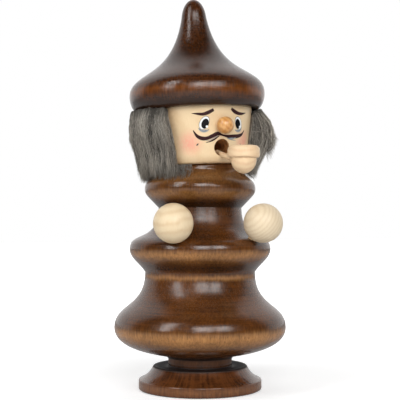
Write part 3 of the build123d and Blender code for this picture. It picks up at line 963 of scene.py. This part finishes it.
def plan_fur(first, last, front, over, locks, strands, rng):
    """Angles are in degrees, heights and lengths in millimetres. front is the angle of the wig's front."""
    count, lock = locks * strands, np.repeat(np.arange(locks), strands)
    centre = rng.uniform(first, last, locks)
    edge = rng.random(locks) < 0.14
    centre[edge] = front + (centre[edge] - front) * 0.07
    near = np.clip(1 - abs(centre - front) / 28, 0, 1)
    short = (rng.random(locks) < 0.4) & over
    depth = rng.uniform(0.55, 1.0, locks) if over else rng.uniform(0, 0.75, locks)
    forward, short_tip, front_flare = (-1, 6.5, 4.2) if front < 180 else (1, 9.8, 0.3)
    tip = np.where(short, rng.normal(short_tip, 2.2, locks), rng.normal(-5.0, 2.4, locks) + near * 1.0)
    root = np.where(rng.random(locks) < 0.75, highest_root, rng.uniform(8, 26, locks))
    angle = np.clip(centre[lock] + rng.normal(0, 2.8, count), first, last)
    plan = {
        "angle": angle + rng.uniform(-0.8, 0.8, count),
        "root": np.clip(root[lock] - abs(rng.normal(0, 1.6, count)), lowest_root, highest_root),
        "depth": np.clip(np.where(short, 0.95, depth)[lock] + rng.normal(0, 0.13, count), 0, 1.04),
        "sweep": (rng.normal(0, 1.8, locks) + forward * near * rng.uniform(-1, 2.5, locks))[lock],
        "gather": (centre[lock], rng.uniform(0.0, 0.6, count)),
        "flare": np.where(short, rng.uniform(0.3, 1.2, locks) + near * front_flare, 0)[lock],
        "near": near[lock],
        "tone": rng.normal(0, 0.17, locks)[lock] + np.where(rng.random(locks) < 0.12, 0.3, 0)[lock],
    }
    plan["tip"] = np.clip(tip[lock] + rng.normal(0, 1.9, count), lowest_tip, plan["root"] - shortest)
    return plan


# %% [markdown]
# A strand leaves the head, bends over and falls. Neighbours lie the same way, so the sideways sway comes
# from slow waves that depend only on the place, and each strand adds a fine crimp of its own.

# %% Lay the strands
stations = np.array([0, 0.035, 0.085, 0.16, 0.26, 0.38, 0.5, 0.62, 0.75, 0.88, 1.0])[:, None]
brim_radii, brim_heights = [30.2, 31.9, 33.4, 34.5, 36], [27.7, 28.3, 30.0, 32.5, 35.7]


def comb(angle, height):
    """How far the fur sways sideways, in degrees."""
    wide = 2.4 * np.sin(angle * 0.29 + height * 0.15 + 1.0)
    return wide + 1.5 * np.sin(angle * 0.77 - height * 0.21) + 0.8 * np.sin(angle * 1.9 + height * 0.38 + 2.0)


def lay_fur(plan, rng, crimp=0.38):
    """The points of every strand: station, strand, xyz. Sizes are in millimetres."""
    t, angle, depth = stations, plan["angle"], plan["depth"]
    outward = np.sin(np.clip(t / (0.14 + 0.4 * plan["near"]), 0, 1) * pi / 2)
    swell = 2.6 * depth ** 2 * (plan["root"] > 24) * np.exp(-((t - 0.15) / 0.1) ** 2)
    fall = (plan["root"] + 1 - plan["tip"]) * np.maximum(t - 0.05, 0) ** 1.1
    height = plan["root"] + outward + swell - fall
    inner, outer = fur_room(angle, height)
    random = rng.normal(0, crimp, (2, *height.shape)) * (0.3 + t)
    radius = inner + (outer - inner) * depth * outward + plan["flare"] * t ** 4 + random[0]
    radius = np.maximum(radius, inner)
    height = np.minimum(height, np.interp(radius, brim_radii, brim_heights))
    middle, pull = plan["gather"]
    bend = angle + plan["sweep"] * t ** 1.3 + (middle - angle) * pull * t ** 2 + comb(angle, height) * t
    bend = np.radians(bend + np.degrees(random[1] / radius))
    return np.stack([radius * np.sin(bend), -radius * np.cos(bend), seam + height], 2)


# %% [markdown]
# Last, each line of points becomes a tube with three sides and a pointed end. A tone for each point goes into
# an attribute, which the material reads: brighter outside and at the tips, dark under the brim. Besides the
# locks' own tones and the white hairs, this is painted shade, and the paler tips are partly the fur's own
# colour too.

# %% Make tubes of the strands
def tubes(name, points, thick, tone):
    """One mesh of three-sided tubes along the points. tone has a value for each station and strand."""
    rings, count = points.shape[:2]
    run = np.gradient(points, axis=0)
    run /= np.linalg.norm(run, axis=2, keepdims=True)
    across = np.cross(run, points * [1, 1, 0] + [0, 0, 9.0])
    across /= np.linalg.norm(across, axis=2, keepdims=True)
    outward = np.cross(across, run)
    width = (thick * (1 - 0.45 * stations) * np.where(stations < 1, 1, 0.15))[:, :, None]
    turns = (0, 2 * pi / 3, 4 * pi / 3)
    corners = [points + (across * cos(turn) + outward * sin(turn)) * width for turn in turns]
    vertices = np.array(corners).transpose(2, 1, 0, 3).reshape(-1, 3) * mm
    ring = np.array([(k, (k + 1) % 3, 3 + (k + 1) % 3, 3 + k) for k in range(3)])
    tube = np.concatenate([ring + 3 * station for station in range(rings - 1)])
    faces = tube[None] + (np.arange(count) * rings * 3)[:, None, None]
    mesh = bpy.data.meshes.new(name)
    mesh.from_pydata(vertices.tolist(), [], faces.reshape(-1, 4).tolist())
    mesh.shade_smooth()
    attribute = mesh.attributes.new("shade", "FLOAT", "POINT")
    values = np.clip(tone, 0, 1).T.repeat(3, axis=1).reshape(-1)
    attribute.data.foreach_set("value", values.astype(np.float32))
    piece = bpy.data.objects.new(name, mesh)
    bpy.context.scene.collection.objects.link(piece)
    return piece


strand = Finish("fur_strands", Roughness=0.6, IOR=1.5)
shade = strand.node("ShaderNodeAttribute", output="Fac", attribute_name="shade")
tone = (shade * 0.85 + strand.noise(0.25, 3) * 0.3).capped()
strand.set(Base_Color=tone.mix(colour(36, 32, 28), colour(204, 196, 183)))

# %% Grow the wig
for side, first, last, front in (("right", 181, 301, 301), ("left", 61, 179, 61)):
    for layer in ("under", "over"):
        rng = np.random.default_rng(30 + front + (layer == "over"))
        plan = plan_fur(first, last, front, layer == "over", 104, 30, rng)
        points = lay_fur(plan, rng)
        white_hairs = np.where(rng.random(len(plan["depth"])) < 0.24, 0.45, 0)
        # painted shade: inner strands darker than outer ones, and roots darker than the paler tips; the white
        # hairs and lock tones are the fur's own
        tone = -0.1 + 0.36 * plan["depth"] + plan["tone"] + white_hairs
        tone = tone + rng.normal(0, 0.1, tone.shape) + stations * 0.2 - 0.04
        # painted shade, dark under the brim
        tone = tone - 0.9 * np.clip((points[:, :, 2] - seam - 24.5) / 3.0, 0, 1)
        thick = 0.115 * rng.uniform(0.7, 1.3, tone.shape[1])
        piece = tubes(f"fur_{side}_{layer}", points, thick, tone)
        finish(lean_over(piece), "grey_fur", strand.material)
finish(lean_over(undercoat), "grey_fur", fur.material, "hair")

# %% [markdown]
# At the front some strands are caught between head and robe, and hang over the collar in a thin veil.
# They are fine, lie close, and thin out away from the wig.

# %% Lay wisps over the collar
for side, front, forward, count in (("right", 301, 1, 170), ("left", 61, -1, 50)):
    rng = np.random.default_rng(front)
    away = rng.uniform(0, 1, count) ** 1.7
    none = np.zeros(count)
    plan = {
        "angle": front + forward * (away * 27 - 4), "root": rng.uniform(-1.4, -0.4, count),
        "tip": rng.uniform(-10, -5.5, count) + away * 2.5, "depth": rng.uniform(0, 0.2, count) * (1 - away),
        "sweep": rng.normal(0, 3, count), "gather": (none, none), "flare": none, "near": none,
    }
    points = lay_fur(plan, rng, 0.3)
    tone = rng.uniform(0.0, 0.35, count) + stations * 0
    piece = tubes(f"fur_wisps_{side}", points, 0.07 + none, tone)
    finish(lean_over(piece), "grey_fur", strand.material)

# %% [markdown]
# ## Floor, light and camera
#
# A plain pale floor and a white surround. To the camera the floor shines a little, so that it fades into
# the white and still keeps the object's shadow.

# %% Floor
floor = add("studio_floor", bpy.ops.mesh.primitive_plane_add, size=6, location=(0, 0, -0.2 * mm))
floor_look = Finish("studio_floor_white", Roughness=0.9, Emission_Strength=1.0)
floor_look.shader.inputs["Base Color"].default_value = (0.75, 0.75, 0.75, 1)
seen = floor_look.node("ShaderNodeLightPath", output="Is Camera Ray")
far = from_axis(floor_look.x, floor_look.y).step(60, 320)
floor_look.set(Emission_Color=seen * (far * 0.6 + 0.45))
floor.data.materials.append(floor_look.material)
print(floor.name, "0.2 mm under the foot")

# %% [markdown]
# The world is white to the camera. The object stands in a white cove with a dark room before it, so the
# world lights it from behind and hardly from the front, and gloss shows both.

# %% World
camera_turn = -27
world = bpy.data.worlds.new("studio")
bpy.context.scene.world = world
world.use_nodes = True
sky = Wire(world.node_tree)
east, north, _ = sky.node("ShaderNodeTexCoord", output="Generated").parts()
behind = (east * -sin(radians(camera_turn)) + north * cos(radians(camera_turn))).step(0.1, 0.35)
seen, mirrored, through = (
    sky.node("ShaderNodeLightPath", output=f"Is {ray} Ray") for ray in ("Camera", "Glossy", "Transmission")
)
level = behind * (0.86 + (mirrored + through) * 0.1) + 0.04
strength = seen + (1 - seen) * level
background = world.node_tree.nodes["Background"]
background.inputs["Color"].default_value = (1, 1, 1, 1)
sky.tree.links.new(strength.socket, background.inputs["Strength"])
print("world:", world.name)

# %% [markdown]
# Three softboxes stand in front, a little above.

# %% Softboxes
middle_height = 0.09  # metres over the floor, where the lamps point


def softbox(name, azimuth, elevation, wide, high, radiance, distance=1.2):
    """A rectangular lamp round the camera's direction. Angles are in degrees, as are its sides."""
    around, rise = radians(camera_turn + azimuth), radians(elevation)
    place = Vector((sin(around) * cos(rise), -cos(around) * cos(rise), sin(rise))) * distance
    place.z += middle_height
    box = add(name, bpy.ops.object.light_add, type="AREA", location=place)
    lamp = box.data
    lamp.shape = "RECTANGLE"
    lamp.size, lamp.size_y = (2 * distance * np.tan(radians(side / 2)) for side in (wide, high))
    lamp.energy = radiance * pi * lamp.size * lamp.size_y
    box.rotation_euler = (Vector((0, 0, middle_height)) - place).to_track_quat("-Z", "Y").to_euler()
    print(f"{name}: {lamp.energy:.2f} W")


softbox("softbox_left", -48, 30, 14, 42, 7.2)
softbox("softbox_middle", 4, 24.5, 22, 27, 7.3)
softbox("softbox_right", 32, 24.5, 18, 27, 6.9)

# %% [markdown]
# The camera stands where the photographer's did: about half a metre off, a little to the figure's right,
# low, and tipped up by a degree. View transform Standard shows each colour as it is written.

# %% Camera
camera = add("camera", bpy.ops.object.camera_add, location=(-0.2364, -0.4639, 0.0869))
camera.data.sensor_width, camera.data.lens = 36, 90.9
camera.data.clip_start, camera.data.clip_end = 0.05, 20
camera.rotation_euler = (radians(91.08), 0, radians(camera_turn))
bpy.context.scene.camera = camera
bpy.context.scene.view_settings.view_transform = "Standard"
print(f"camera: {camera.location.length:.2f} m from the foot")
